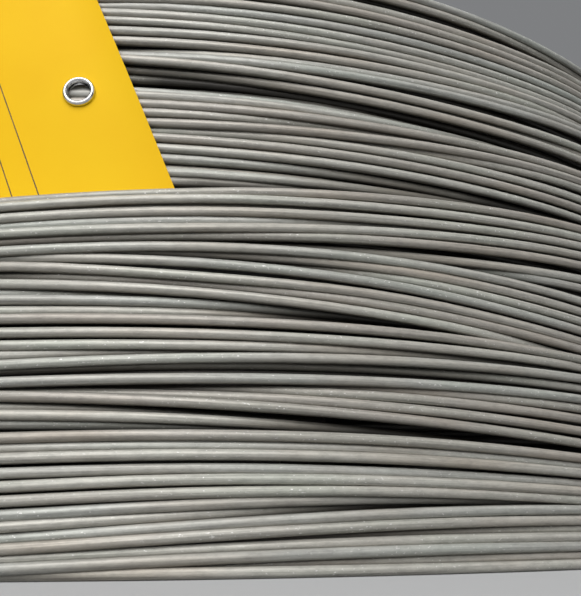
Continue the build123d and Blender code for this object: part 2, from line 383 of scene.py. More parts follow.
# %% [markdown]
# ## From the picture to paths round the coil
#
# The heights were read on the picture as if every rod lay at one radius. A rod that lies deeper is
# further along the line of sight, which climbs from the low camera, so it is also higher than it
# appears. Past the azimuths that show, a path goes on a little as it was going, and then keeps to
# its mean height, drifting with its bundle. Near the two ends there is less room to drift.

# %% Paths of the turns in the picture
hidden_azimuths = np.arange(66, 321, 30)
azimuth_before, azimuth_after = -20, 38
trend_kept = 0.6  # of the last step that shows
path_passes = 5
sight_radius = 482  # where the heights were read
free_height = 40  # bundles nearer than this to an end drift less
neighbour_drift, own_drift = 0.8, 3.5  # share of the bundle below's, and mm of its own
wall = Side(0, coil_height)


def round_the_coil(shown, drift):
    """Values all round the coil, from those at the shown azimuths and a drift of the hidden ones."""
    before = shown[0] + trend_kept * (shown[0] - shown[1])
    after = shown[-1] + trend_kept * (shown[-1] - shown[-2])
    knots = np.concatenate([[azimuth_before], shown_azimuths, [azimuth_after], hidden_azimuths]) % 360
    values = np.concatenate([[before], shown, [after], np.mean(shown) + drift])
    return ease_round(np.interp(azimuths, knots, values, period=360), path_passes)


def place_bundles(names, drifts):
    """Places the turns of some bundles, the proudest first."""
    turns = [(level, heights, name) for name in names for level, heights in wall_bundles[name]]
    for level, heights, name in sorted(turns, key=lambda turn: -np.mean(turn[0])):
        seen_path = round_the_coil(np.array(heights), drifts[name])
        level = round_the_coil(np.ones(len(shown_azimuths)) * level, np.zeros(len(hidden_azimuths)))
        level = bend_gently(wall.below_ceiling(seen_path, level))
        climb = (seen_path - camera_place.z / mm) / (-camera_place.y / mm - sight_radius)
        path = seen_path + (sight_radius - level) * climb
        wall.place(path + wander(turn_wander, waves=3), level, name)


drifts = {}
drift = np.zeros(len(hidden_azimuths))
for name, rods in wall_bundles.items():
    height = np.mean([seen_heights for _, seen_heights in rods])
    room = min(1, height / free_height, (coil_height - height) / free_height)
    drift = neighbour_drift * drift + random.normal(0, own_drift, len(hidden_azimuths))
    drifts[name] = drift * room
print(f"bundles drift by up to {max(np.abs(drift).max() for drift in drifts.values()):.1f} mm")

# %% [markdown]
# ## Where the tag is
#
# The tag is a card that leans to the left. We need to know where it is, in the unrolled map, before
# the deeper bundles are placed. Its outline is a rectangle turned about its middle. The foot
# of the card is bent inwards a little, because the turns in front of it press it down. Its two
# sides stand off from the round wall, because a card would rather be flat.

# %% Place and shape of the tag
tag_low, tag_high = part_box("tag")
tag_length, tag_width, tag_thickness = 132.0, 93.0, 0.5
tag_corner = 4.0
tag_lean = radians(22.8)
tag_azimuth = radians(-9.2)
tag_middle_height = (tag_low.z + tag_high.z) / 2 / mm
tag_back_radius = 480.8
tag_front_radius = tag_back_radius + tag_thickness
foot_bend = 2.2
foot_bend_from, foot_bend_to = 235.0, 152.0  # heights between which it grows to the full
side_lift = 2.2
flat_half_width = 30.0  # the card follows the wall this far from its middle


def soft_step(value, start, end):
    """0 at the start and 1 at the end, eased at both."""
    share = np.clip((value - start) / (end - start), 0, 1)
    return share * share * (3 - 2 * share)


def tag_place(along, across):
    """Azimuth in radians and height of a point of the tag, measured from the tag's middle."""
    rightwards = across * cos(tag_lean) - along * sin(tag_lean)
    upwards = across * sin(tag_lean) + along * cos(tag_lean)
    return tag_azimuth + rightwards / tag_front_radius, tag_middle_height + upwards


def tag_radius(along, across):
    """Radius of the front of the tag at a place on it."""
    pressed = soft_step(tag_place(along, across)[1], foot_bend_from, foot_bend_to)
    past_flat = np.maximum(np.abs(across) - flat_half_width, 0) / (tag_width / 2 - flat_half_width)
    return tag_front_radius - foot_bend * pressed + side_lift * past_flat**2 * (1 - pressed)


print(f"tag: {tag_length:.0f} by {tag_width:.0f} mm, its middle {tag_middle_height:.0f} mm up")

# %% [markdown]
# ## Room for the tag
#
# The bundles in front of the tag's foot go in first. The tag then becomes a ceiling that holds all
# the others down, as a turn would. Past its two sides the ceiling rises slowly, because a turn that
# comes out from behind the card is too stiff to jump forward there. Past its ends it rises fast.
#
# Two more layers lie behind the turns of the picture, and fill what can be seen between them.

# %% Turns in front of the tag and behind it
gap_behind_tag = 0.5
rise_past_sides, rise_past_ends = 0.05, 4.0  # for each mm beyond the tag's outline
tag_reach = 60

cell_heights = np.arange(-spare_cells, wall.cells - spare_cells) * cell
turned = (np.radians((azimuths + 180) % 360 - 180) - tag_azimuth)[:, None] * tag_front_radius
raised = cell_heights[None, :] - tag_middle_height
across = turned * cos(tag_lean) + raised * sin(tag_lean)
along = raised * cos(tag_lean) - turned * sin(tag_lean)
past_corner_x = np.maximum(np.abs(across) - tag_width / 2 + tag_corner, 0)
past_corner_y = np.maximum(np.abs(along) - tag_length / 2 + tag_corner, 0)
beyond = np.hypot(past_corner_x, past_corner_y) - tag_corner
rise = np.where(np.abs(along) > tag_length / 2 - tag_corner, rise_past_ends, rise_past_sides)
behind_tag = tag_radius(along, across) - tag_thickness - gap_behind_tag + rise * np.maximum(beyond, 0)

in_front_of_tag = ("over_tag", "middle")
place_bundles(in_front_of_tag, drifts)
wall.ceiling = np.where(beyond < tag_reach, behind_tag, wall.ceiling)
place_bundles([name for name in wall_bundles if name not in in_front_of_tag], drifts)
wind_layer(wall, "second_layer", level=475.3, roughness=1.0, drift_amount=5, widest_gap=2)
wind_layer(wall, "third_layer", level=469.8, roughness=1.0, drift_amount=4, widest_gap=2)
proudest = max(turn["level"].max() for turn in wall.turns) + rod_radius
print("turns on the wall:", len(wall.turns), "and the proudest rod reaches", round(proudest, 2))

# %% [markdown]
# ## The two ends and the bore
#
# The ends of a coil show the turns at the edge of every layer, like the grooves of a record. The
# same rule places them: on an end the level is the height, and the place across is the radius. In
# the bore the level is the radius counted inwards, so it is negative.
#
# The layers of a coil aren't equally wide. On the solids one layer in nine reaches the end of the
# coil, and the ends dip between those. The turns follow that form.

# %% Turns on the ends and in the bore
wall_depth, bore_depth = 17, 11  # taken up by the turns of the wall and of the bore
end_low, end_high = bore_radius + bore_depth, outer_radius - wall_depth
top = Side(end_low, end_high)
bottom = Side(end_low, end_high)
bore_wall = Side(0, coil_height)
layer_spacing = rod_diameter * np.sqrt(3) / 2
crest_pitch = 9 * layer_spacing  # from one layer that reaches the end to the next
outermost_crest = 1.5  # in pitches from the middle crest
top_middle = (bore_radius + outer_radius - rod_diameter) / 2
bottom_middle = (bore_radius + outer_radius) / 2


def end_dip(radius, middle):
    """How far an end of the coil dips at a radius. Beyond the outermost crests it doesn't."""
    pitches = (radius - middle) / crest_pitch
    dip = 2 * rod_diameter * np.abs(pitches % 1 - 0.5)
    return np.where(np.abs(pitches) < outermost_crest, dip, 0)


for side, level, middle in (
    (top, coil_height - rod_radius, top_middle),
    (bottom, -rod_radius, bottom_middle),
):
    side.dip = lambda path, middle=middle: end_dip(path, middle)
    for group, depth, roughness in (
        ("first_layer", 0.2, 0.7),
        ("second_layer", 5.0, 0.8),
        ("third_layer", 9.8, 0.8),
    ):
        wind_layer(side, group, level - depth, roughness, drift_amount=2.2, widest_gap=1)
for group, depth in (("first_layer", 0.3), ("second_layer", 5.2)):
    level = -bore_radius - rod_radius - depth
    wind_layer(bore_wall, group, level, roughness=0.9, drift_amount=3.5, widest_gap=1.2)
print("turns on each end:", len(top.turns), "and in the bore:", len(bore_wall.turns))

# %% [markdown]
# ## Under the straps
#
# A strap is pulled so tight that it draws the bundle in. Beside each strap the turns swing in and
# out again over some 7 degrees. We first find the section that the strap leaves for them, which is
# smaller than the free one and has rounded corners, and then blend from the free place of
# each turn to its squeezed place.

# %% Squeeze under the straps
strap_azimuths = (50, 140, 230, 320)
strap_sink = 3.5
strap_clearance = 0.3
strap_corner = 16.0
upper_wall_step = rod_diameter  # the wall of the solids is this much further in at the top
strap_half, strap_fade = 1.5, 9.0  # degrees beside a strap where the squeeze is full, and over


def rounded(inside_a, inside_b):
    """Bends the square corner of a section into a round one. Both distances are from the sides."""
    a = np.clip(1 - inside_a / strap_corner, 0, 1)
    b = np.clip(1 - inside_b / strap_corner, 0, 1)
    move_a = strap_corner * (a - a * np.sqrt(1 - b * b / 2))
    move_b = strap_corner * (b - b * np.sqrt(1 - a * a / 2))
    return move_a, move_b


def squeezed(radius, height):
    """Where a point of the section goes under a strap."""
    share_out = (radius - bore_radius) / (outer_radius - bore_radius)
    share_up = height / coil_height
    outer_limit = outer_radius - strap_sink - strap_clearance - upper_wall_step * share_up
    inner_limit = bore_radius + strap_sink + strap_clearance
    low = strap_sink + strap_clearance
    high = coil_height - strap_sink - strap_clearance
    new_radius = inner_limit + (outer_limit - inner_limit) * share_out
    new_height = low + (high - low) * share_up
    for side_radius, outward in ((outer_limit, 1), (inner_limit, -1)):
        for side_height, upward in ((high, 1), (low, -1)):
            in_radius = outward * (side_radius - new_radius)
            in_height = upward * (side_height - new_height)
            move_radius, move_height = rounded(in_radius, in_height)
            near = (in_radius < strap_corner) & (in_height < strap_corner)
            new_radius = np.where(near, new_radius - outward * move_radius, new_radius)
            new_height = np.where(near, new_height - upward * move_height, new_height)
    return new_radius, new_height


strap_pull = np.zeros(stations)
for strap_azimuth in strap_azimuths:
    apart = np.abs((azimuths - strap_azimuth + 180) % 360 - 180)
    strap_pull = np.maximum(strap_pull, 1 - soft_step(apart, strap_half, strap_fade))


def drawn_in(radius, height):
    """Place of a turn round the coil, with the pull of the straps."""
    new_radius, new_height = squeezed(radius, height)
    return radius + (new_radius - radius) * strap_pull, height + (new_height - height) * strap_pull


print("stations that the straps pull at:", np.count_nonzero(strap_pull))

# %% [markdown]
# ## From a path to a rod
#
# One turn is a ring with a round section. A circle spun about the axis of the coil makes it, and
# that is done once: each turn is a copy of this ring whose points are moved to their place. The
# seam of the ring lies under a strap.
#
# The circle lies in a plane through the axis, and its radius is in millimetres, like all our sizes,
# so the ring is a thousand times too large for Blender's metres. That does no harm: only the angles
# of its points are read from it. Its map, which a finish can follow later, is in metres.

# %% One plain ring
seam_azimuth = strap_azimuths[2]


def spin_round(shape, steps):
    """Spins all of a bmesh once round the Z axis, into a ring that closes on itself."""
    bmesh.ops.spin(
        shape,
        geom=shape.verts[:] + shape.edges[:],
        cent=(0, 0, 0),
        axis=(0, 0, 1),
        angle=2 * pi,
        steps=steps,
        use_merge=True,
    )


def plain_ring(sides):
    """Mesh of one plain ring, with a map along the rod and room for the values of each turn."""
    ring = bmesh.new()
    start = radians(seam_azimuth)
    outwards = Vector((sin(start), -cos(start), 0))
    placing = Matrix.Translation(outwards * outer_radius) @ Matrix(
        (outwards, Vector((0, 0, 1)), outwards.cross(Vector((0, 0, 1))))
    ).transposed().to_4x4()
    bmesh.ops.create_circle(ring, segments=sides, radius=rod_radius, matrix=placing)
    spin_round(ring, stations)
    bmesh.ops.recalc_face_normals(ring, faces=ring.faces[:])
    length_map = ring.loops.layers.uv.new("along_rod")
    turn_length = 2 * pi * outer_radius * mm
    for face in ring.faces:
        face.smooth = True
        middle = face.calc_center_median()
        middle_share = (np.arctan2(middle.x, -middle.y) - start) / (2 * pi) % 1
        for loop in face.loops:
            place = loop.vert.co
            share = (np.arctan2(place.x, -place.y) - start) / (2 * pi) % 1
            share += round(middle_share - share)
            section_angle = np.arctan2(place.z, place.xy.length - outer_radius)
            loop[length_map].uv = (share * turn_length, section_angle / (2 * pi))
    mesh = bpy.data.meshes.new("plain_ring")
    ring.to_mesh(mesh)
    ring.free()
    mesh.attributes.new("turn_shade", "FLOAT", "POINT")
    # how lit the finish paints each point: low values are painted shade
    mesh.attributes.new("rubbed", "FLOAT", "POINT")
    return mesh


# %% [markdown]
# ## Which point is which
#
# To move the points of the ring, we need to know which station and which side of the section each
# one belongs to. Both are read from its place in the plain ring. A face lies between two stations,
# and is kept if the turn shows at either.

# %% Stations of the points and the faces
def ring_points(mesh):
    """Station number, cosine and sine of the section angle for each point of the plain ring."""
    points = np.empty(len(mesh.vertices) * 3)
    mesh.vertices.foreach_get("co", points)
    x, y, z = points.reshape(-1, 3).T
    azimuth = np.degrees(np.arctan2(x, -y)) % 360
    station = np.round(azimuth / 360 * stations).astype(int) % stations
    outward, upward = np.hypot(x, y) - outer_radius, z
    size = np.hypot(outward, upward)
    return station, outward / size, upward / size


def ring_stretches(mesh):
    """For each face of the plain ring, the station before it and the station after it."""
    middles = np.empty(len(mesh.polygons) * 3)
    mesh.polygons.foreach_get("center", middles)
    x, y, _ = middles.reshape(-1, 3).T
    before = np.floor(np.degrees(np.arctan2(x, -y)) % 360 / 360 * stations).astype(int) % stations
    return before, (before + 1) % stations


# %% [markdown]
# ## What shows, and where shade is painted
#
# Most of a wound coil is hidden in itself. Turns or stretches that no other turn leaves in sight
# are deleted, and the cut ends are closed, so that what is left is still solid. To know what shows,
# we draw the surface of all the turns on the map, and look for the lowest spot near each cell.
#
# Painted shade is worked out from the same surface. The flanks of each turn, and the turns that lie
# deep below their neighbours, are painted dark for the shadow that falls between and behind turns.
# Near both ends of the wall, the side of a turn that faces the end is left lit. That goes into the
# mesh as an attribute, a value for each point, which the finish reads.

# %% What shows, and where shade is painted
beside_rod = 0.7  # a rod also counts this far past its own side
cover_reach, crest_reach = 6, 6
stations_kept = 5  # on both sides of what shows
painted_light_facing = (-0.35, 0.65)  # from a flank in full painted shade to the outward side, left lit
painted_shade_depth = (1.2, 6.2)  # below the proudest turn beside it, from lit to full painted shade
edge_zone, edge_full = 14, 6  # how far from an end the painted shade starts to lift off the side facing it, and is gone


def surface(side):
    """How far out the surface of the turns lies at each cell, once all are placed."""
    outer = np.full((stations, side.cells), -far_away)
    for turn in side.turns:
        columns, aside = side.columns(turn["path"], rod_radius + beside_rod)
        crest = turn["level"][:, None] + np.sqrt(np.maximum(rod_radius**2 - aside**2, 0))
        outer[rows, columns] = np.maximum(outer[rows, columns], crest)
    return outer


def surface_near(side, reach, pick):
    """The surface at each cell, as np.minimum or np.maximum picks it from the cells within reach."""
    outer = surface(side)
    picked = outer.copy()
    span = int(reach / cell)
    for shift in range(-span, span + 1):
        picked = pick(picked, np.roll(outer, shift, axis=1))
    return picked


def cover(side):
    """How far out the lowest spot near each cell lies. Nothing covers the edges of a side."""
    lowest = surface_near(side, cover_reach, np.minimum)
    edge = spare_cells + int(cover_reach / cell)
    lowest[:, :edge] = -far_away
    lowest[:, -edge:] = -far_away
    return lowest


def in_sight(side, lowest, turn):
    """For each station, whether some of the turn may show there."""
    columns, _ = side.columns(turn["path"], rod_radius)
    seen = (turn["level"][:, None] + rod_radius > lowest[rows, columns]).any(axis=1)
    for _ in range(stations_kept):
        seen = seen | np.roll(seen, 1) | np.roll(seen, -1)
    return seen


def painted_light_on_turn(side_name, side, turn, highest, station, outward, upward):
    """How lit each point of a turn is painted, from 0 in full painted shade to 1."""
    facing = {"wall": outward, "bore": -outward, "top": upward, "bottom": -upward}[side_name]
    columns, _ = side.columns(turn["path"], 0)
    sunk = (highest[rows, columns][:, 0] - turn["level"] - rod_radius)[station]
    # Painted shade: flanks that face away from the open side, and turns sunk below their neighbours, get
    # low values
    rubbed = soft_step(facing, *painted_light_facing) * (1 - soft_step(sunk, *painted_shade_depth))
    # Near both ends of the wall the painted shade is lifted from the side of a turn that faces the end
    if side_name in ("wall", "bore"):
        middle = coil_height / 2
        above_middle = (turn["path"] - middle)[station]
        edge_share = soft_step(np.abs(above_middle), middle - edge_zone, middle - edge_full)
        towards_end = upward * np.sign(above_middle)
        rubbed = np.maximum(rubbed, edge_share * soft_step(towards_end, *painted_light_facing))
    return rubbed


# %% [markdown]
# ## Turns into pieces
#
# All turns of one side are joined into one mesh, because hundreds of separate rods would be hard to
# handle. A piece of over 200,000 triangles is heavy for many programs, so the outer wall becomes
# three pieces, and rods that hardly show get fewer sides.

# %% Joining the turns
def finished(name, shape):
    """Makes a bmesh an object of the scene, with its place in its mesh, and frees the bmesh."""
    mesh = bpy.data.meshes.new(name)
    shape.to_mesh(mesh)
    shape.free()
    piece = bpy.data.objects.new(name, mesh)
    bpy.context.scene.collection.objects.link(piece)
    print(f"{name}: {sum(len(face.vertices) - 2 for face in mesh.polygons)} triangles")
    return piece


def section_place(side_name, turn):
    """Radius and height of a turn, from its path across a side and its level."""
    if side_name == "wall":
        return turn["level"], turn["path"]
    if side_name == "bore":
        return -turn["level"], turn["path"]
    if side_name == "top":
        return turn["path"], turn["level"]
    return turn["path"], -turn["level"]


def build_turns(piece_name, side_name, side, chosen, sides):
    """Joins the chosen turns of a side into one object."""
    ring = plain_ring(sides)
    station, outward, upward = ring_points(ring)
    before, after = ring_stretches(ring)
    angle = np.radians(azimuths)[station]
    highest = surface_near(side, crest_reach, np.maximum)
    lowest = cover(side)
    joined = bmesh.new()
    hidden_faces = []
    face_total = 0
    for turn in chosen:
        seen = in_sight(side, lowest, turn)
        if not seen.any():
            continue
        radius, height = drawn_in(*section_place(side_name, turn))
        radius = radius[station] + rod_radius * outward
        height = height[station] + rod_radius * upward
        points = np.stack([radius * np.sin(angle), -radius * np.cos(angle), height], axis=1) * mm
        ring.vertices.foreach_set("co", points.ravel())
        shade = np.full(len(ring.vertices), random.uniform(0, 1), dtype=np.float32)
        ring.attributes["turn_shade"].data.foreach_set("value", shade)
        rubbed = painted_light_on_turn(side_name, side, turn, highest, station, outward, upward)
        ring.attributes["rubbed"].data.foreach_set("value", rubbed.astype(np.float32))
        joined.from_mesh(ring)
        hidden = np.flatnonzero(~(seen[before] | seen[after]))
        hidden_faces.extend((hidden + face_total).tolist())
        face_total += len(ring.polygons)
    joined.faces.ensure_lookup_table()
    bmesh.ops.delete(joined, geom=[joined.faces[number] for number in hidden_faces], context="FACES")
    cut_ends = [edge for edge in joined.edges if edge.is_boundary]
    bmesh.ops.holes_fill(joined, edges=cut_ends)
    bpy.data.meshes.remove(ring)
    return finished(piece_name, joined)


# %% Pieces of the wall, the ends and the bore
upper_names = {"top", "upper", "upper_edge", "below_gap", "crossing", "level"}
layer_names = {"second_layer", "third_layer"}
upper_turns = [turn for turn in wall.turns if turn["group"] in upper_names]
layer_turns = [turn for turn in wall.turns if turn["group"] in layer_names]
lower_turns = [turn for turn in wall.turns if turn["group"] not in upper_names | layer_names]
pieces = [
    build_turns("upper_wall_turns", "wall", wall, upper_turns, sides=10),
    build_turns("lower_wall_turns", "wall", wall, lower_turns, sides=10),
    build_turns("inner_wall_turns", "wall", wall, layer_turns, sides=8),
    build_turns("top_turns", "top", top, top.turns, sides=8),
    build_turns("bottom_turns", "bottom", bottom, bottom.turns, sides=6),
    build_turns("bore_turns", "bore", bore_wall, bore_wall.turns, sides=8),
]

# %% [markdown]
# ## The plain core
#
# Behind the turns that show there are hundreds more, of which nothing is seen but the dark between
# the others. Making them would only make the scene heavier, so one plain ring stands for them. It is
# a rectangle spun about the axis, small enough to stay behind the deepest turns under the straps too.

# %% Core
inset_in_bore, inset_in_wall, inset_at_ends = 12, 19, 14
core_low, core_high = bore_radius + inset_in_bore, outer_radius - inset_in_wall
core_floor, core_ceiling = inset_at_ends, coil_height - inset_at_ends
corners = [
    (core_low, core_floor),
    (core_high, core_floor),
    (core_high, core_ceiling),
    (core_low, core_ceiling),
]
core = bmesh.new()
core.faces.new([core.verts.new((radius * mm, 0, height * mm)) for radius, height in corners])
bmesh.ops.delete(core, geom=core.faces[:], context="FACES_ONLY")
spin_round(core, stations)
bmesh.ops.recalc_face_normals(core, faces=core.faces[:])
core_piece = finished("hidden_turns", core)
pieces.append(core_piece)

for piece in pieces:
    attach(piece, "root")
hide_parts("coil")

# %% [markdown]
# ## Finishes
#
# A finish is a small network of nodes: patterns on the left, ramps that turn them into colours and
# amounts in the middle, and the shader at the end. These helpers keep each network short to write.
# A value that is the same all over the surface is set on the shader itself.

# %% Helpers for nodes
def new_material(name):
    """Starts a material, and gives it, its node tree and its shader."""
    material = bpy.data.materials.new(name)
    material.use_nodes = True
    tree = material.node_tree
    return material, tree, tree.nodes["Principled BSDF"]


def feed(tree, socket, value):
    """Sets an input to a value, or links it to the output of another node."""
    if isinstance(value, bpy.types.NodeSocket):
        tree.links.new(value, socket)
    else:
        socket.default_value = value


def set_inputs(tree, node, **inputs):
    """Feeds inputs by name, with _ for a space."""
    for name, value in inputs.items():
        feed(tree, node.inputs[name.replace("_", " ")], value)


def add_node(tree, kind, settings=None, **inputs):
    """Adds a node, with its settings and its inputs."""
    node = tree.nodes.new(kind)
    for name, value in (settings or {}).items():
        setattr(node, name, value)
    set_inputs(tree, node, **inputs)
    return node


# %% [markdown]
# A few kinds of node do most of the work, and each gets a function of its own: arithmetic, a ramp from
# numbers to colours, a mix of two colours, and noise. The last one puts a finish on its pieces.

# %% Helpers for patterns and colours
def calculate(tree, operation, first, second=0.0):
    """One step of arithmetic on one or two values."""
    node = tree.nodes.new("ShaderNodeMath")
    node.operation = operation
    feed(tree, node.inputs[0], first)
    feed(tree, node.inputs[1], second)
    return node.outputs[0]


def ramp(tree, factor, *stops):
    """Colour ramp. Each stop is a position and a colour or a grey."""
    node = tree.nodes.new("ShaderNodeValToRGB")
    tree.links.new(factor, node.inputs[0])
    elements = node.color_ramp.elements
    while len(elements) < len(stops):
        elements.new(0.5)
    for element, (position, colour) in zip(elements, stops):
        element.position = position
        if isinstance(colour, (int, float)):
            colour = (colour, colour, colour)
        element.color = (*colour, 1)
    return node.outputs[0]


def mix(tree, kind, first, second, share=1.0):
    """Mixes two colours: MULTIPLY darkens or tints the first, MIX lays the second over it."""
    settings = {"blend_type": kind}
    node = add_node(tree, "ShaderNodeMixRGB", settings, Fac=share, Color1=first, Color2=second)
    return node.outputs[0]


def place_on_piece(tree):
    """The place of each point, in metres, in the coordinates of its object."""
    return add_node(tree, "ShaderNodeTexCoord").outputs["Object"]


def noise(tree, scale, detail):
    """Cloudy noise all through a piece."""
    place = place_on_piece(tree)
    return add_node(tree, "ShaderNodeTexNoise", Vector=place, Scale=scale, Detail=detail).outputs["Fac"]


def paint(material, objects):
    """Puts a material on each of some objects, in place of what they have."""
    for piece in objects:
        piece.data.materials.clear()
        piece.data.materials.append(material)
    print(f"{material.name}: {len(material.node_tree.nodes)} nodes, on {len(objects)} pieces")


# %% [markdown]
# ## Finish of the rod
#
# Hot-rolled rod is covered in a thin grey scale. It is dull and satin, a touch warm, with fine
# streaks along the rod. Painted shade darkens the flanks of each turn and the turns that lie deep.
# All of it follows the rod, so the patterns read the ring's own map, which runs along the rod in
# metres and once round it. Each turn has a tint of its own and shifts the patterns, so that neighbours
# differ.
#
# A pattern on a flat map would show a seam where it closes round the rod. So the way round is bent
# into a circle first, with a sine and a cosine, and the noise is read in the space round the rod.

# %% Coordinates along the rod
shift_of_turns = 37.0  # metres along the pattern, from the first shade to the last
rod_steel, tree, shader = new_material("rod_steel")
uv = add_node(tree, "ShaderNodeUVMap", {"uv_map": "along_rod"}).outputs["UV"]
shade = add_node(tree, "ShaderNodeAttribute", {"attribute_name": "turn_shade"}).outputs["Fac"]
rubbed = add_node(tree, "ShaderNodeAttribute", {"attribute_name": "rubbed"}).outputs["Fac"]
split = add_node(tree, "ShaderNodeSeparateXYZ", Vector=uv)
round_angle = calculate(tree, "MULTIPLY", split.outputs["Y"], 2 * pi)
round_x = calculate(tree, "MULTIPLY", calculate(tree, "COSINE", round_angle), rod_radius * mm)
round_y = calculate(tree, "MULTIPLY", calculate(tree, "SINE", round_angle), rod_radius * mm)
turn_shift = calculate(tree, "MULTIPLY", shade, shift_of_turns)


def rod_noise(stretch, scale, detail=3.0, roughness=0.55):
    """Noise that is drawn out along the rod and shifted for each turn."""
    length = calculate(tree, "MULTIPLY", split.outputs["X"], 1 / stretch)
    shifted = calculate(tree, "ADD", length, turn_shift)
    place = add_node(tree, "ShaderNodeCombineXYZ", X=shifted, Y=round_x, Z=round_y).outputs[0]
    node = add_node(
        tree, "ShaderNodeTexNoise", Vector=place, Scale=scale, Detail=detail, Roughness=roughness
    )
    return node.outputs["Fac"]


streaks = rod_noise(stretch=60, scale=900)
patches = rod_noise(stretch=6, scale=45)
specks = rod_noise(stretch=2, scale=1200, detail=1.0)
mottle = rod_noise(stretch=3, scale=420, detail=6.0, roughness=0.75)

# %% [markdown]
# The colour is built up as on the real rod. The tint of the turn comes first, then streaks from the
# rolls, patches of thicker and thinner scale, and a fine mottle. Pale specks of loose scale and dust
# lie in some patches only. Last, painted shade darkens the flanks of each turn and the deep turns.

# %% Rod steel
white = (1.0, 1.0, 1.0)
speck_colour = (0.75, 0.74, 0.71, 1)
tint = ramp(
    tree, shade, (0.0, (0.40, 0.375, 0.335)), (0.5, (0.48, 0.467, 0.42)), (1.0, (0.41, 0.41, 0.38))
)
streak_colour = ramp(tree, streaks, (0.3, 0.72), (0.5, 1.0), (0.75, 1.12))
patch_colour = ramp(
    tree, patches, (0.32, (0.94, 0.885, 0.84)), (0.5, white), (0.68, (0.97, 1.02, 0.995))
)
mottle_colour = ramp(tree, mottle, (0.36, 0.84), (0.5, 1.0), (0.64, 1.10))
colour = mix(tree, "MULTIPLY", tint, streak_colour)
colour = mix(tree, "MULTIPLY", colour, patch_colour)
colour = mix(tree, "MULTIPLY", colour, mottle_colour)

speck_spots = ramp(tree, specks, (0.68, 0.0), (0.74, 1.0))
speck_patches = ramp(tree, patches, (0.44, 0.0), (0.58, 1.0))
speck_mask = calculate(tree, "MULTIPLY", speck_spots, speck_patches)
colour = mix(tree, "MIX", colour, speck_colour, share=speck_mask)

# Painted shade: where the attribute read above is low, this ramp darkens the colour almost to black
painted_shade_colour = ramp(
    tree, rubbed, (0.0, (0.045, 0.04, 0.034)), (0.45, (0.47, 0.46, 0.44)), (1.0, white)
)
colour = mix(tree, "MULTIPLY", colour, painted_shade_colour)
rod_roughness = ramp(tree, streaks, (0.3, 0.56), (0.7, 0.43))
bump = add_node(tree, "ShaderNodeBump", Strength=0.35, Distance=0.0004, Height=streaks).outputs[0]
set_inputs(tree, shader, Base_Color=colour, Metallic=0.26, Roughness=rod_roughness, Normal=bump)
paint(rod_steel, pieces[:-1])

# %% [markdown]
# ## Painted shade in the core
#
# The core only shows between turns. It is painted almost black, as painted shade for the hidden
# turns in their shadow, and noise makes that uneven. Nothing on it runs along a rod, so plain noise
# in the piece's own coordinates will do.

# %% Painted shade of the hidden turns
core_steel, tree, shader = new_material("core_steel")
core_unevenness = noise(tree, scale=120.0, detail=2.0)
# Painted shade: almost black, where the hidden turns would lie in shadow
core_shade_colour = ramp(tree, core_unevenness, (0.3, (0.012, 0.011, 0.010)), (0.8, (0.03, 0.028, 0.025)))
set_inputs(tree, shader, Base_Color=core_shade_colour, Roughness=0.8)
paint(core_steel, [core_piece])

# %% [markdown]
# ## Straps and seals
#
# Strapping is a blued steel band: almost black, with a sheen that comes and goes in blotches. A seal is
# a piece of galvanised sheet, whose zinc crystals make a pattern of flat pale cells. Noise suits the
# one and Voronoi cells suit the other. Their shapes are right as they are in the solids, so
# these only get a better material.

# %% Strap and seal steel
strap_steel, tree, shader = new_material("strap_steel")
blotches = noise(tree, scale=60.0, detail=6.0)
strap_colour = ramp(
    tree, blotches, (0.35, (0.030, 0.036, 0.048)), (0.6, (0.055, 0.062, 0.075)), (0.8, (0.12, 0.12, 0.12))
)
strap_roughness = ramp(tree, blotches, (0.3, 0.30), (0.8, 0.5))
set_inputs(tree, shader, Base_Color=strap_colour, Metallic=0.7, Roughness=strap_roughness)
paint(strap_steel, [node for name, node in frame["nodes"].items() if name.startswith("strap")])

seal_steel, tree, shader = new_material("seal_steel")
crystals = add_node(tree, "ShaderNodeTexVoronoi", Vector=place_on_piece(tree), Scale=220.0)
spangle = crystals.outputs["Distance"]
seal_colour = ramp(tree, spangle, (0.0, 0.42), (0.6, 0.30))
seal_roughness = ramp(tree, spangle, (0.0, 0.30), (0.6, 0.45))
set_inputs(tree, shader, Base_Color=seal_colour, Metallic=0.85, Roughness=seal_roughness)
paint(seal_steel, [node for name, node in frame["nodes"].items() if name.startswith("seal")])

# %% [markdown]
# ## The tag
#
# The card is a thin sheet of yellow plastic that follows the wall. Bending a finished card with a
# modifier would need a curve to follow. It is simpler to draw the card flat, as a grid of narrow
# cells, and to move each of its points to its place on the wall with the functions from above. While it
# is flat, its corners are rounded, the hole for the eyelet is cut, and it is given its thickness.

# %% The card, flat
eyelet_margin = 23.7
hole_radius = 5.1
eyelet_place = Vector((tag_width / 2 - eyelet_margin, 0, 0))
corner_x = tag_width / 2 - tag_corner
corner_y = tag_length / 2 - tag_corner

card = bmesh.new()
bmesh.ops.create_grid(card, x_segments=48, y_segments=64, size=0.5)
for vert in card.verts:
    vert.co.x *= tag_width
    vert.co.y *= tag_length
for vert in card.verts:
    nearest_x = min(max(vert.co.x, -corner_x), corner_x)
    nearest_y = min(max(vert.co.y, -corner_y), corner_y)
    corner = Vector((nearest_x, nearest_y, 0))
    past = vert.co - corner
    if past.x and past.y:
        vert.co = corner + past.normalized() * max(abs(past.x), abs(past.y))
inside_hole = [
    face
    for face in card.faces
    if max(abs(value) for value in (face.calc_center_median() - eyelet_place).xy) < hole_radius
]
bmesh.ops.delete(card, geom=inside_hole, context="FACES")
for vert in card.verts:
    if vert.is_boundary and (vert.co - eyelet_place).length < 2 * hole_radius:
        vert.co = eyelet_place + (vert.co - eyelet_place).normalized() * hole_radius
bmesh.ops.solidify(card, geom=card.faces[:], thickness=tag_thickness)


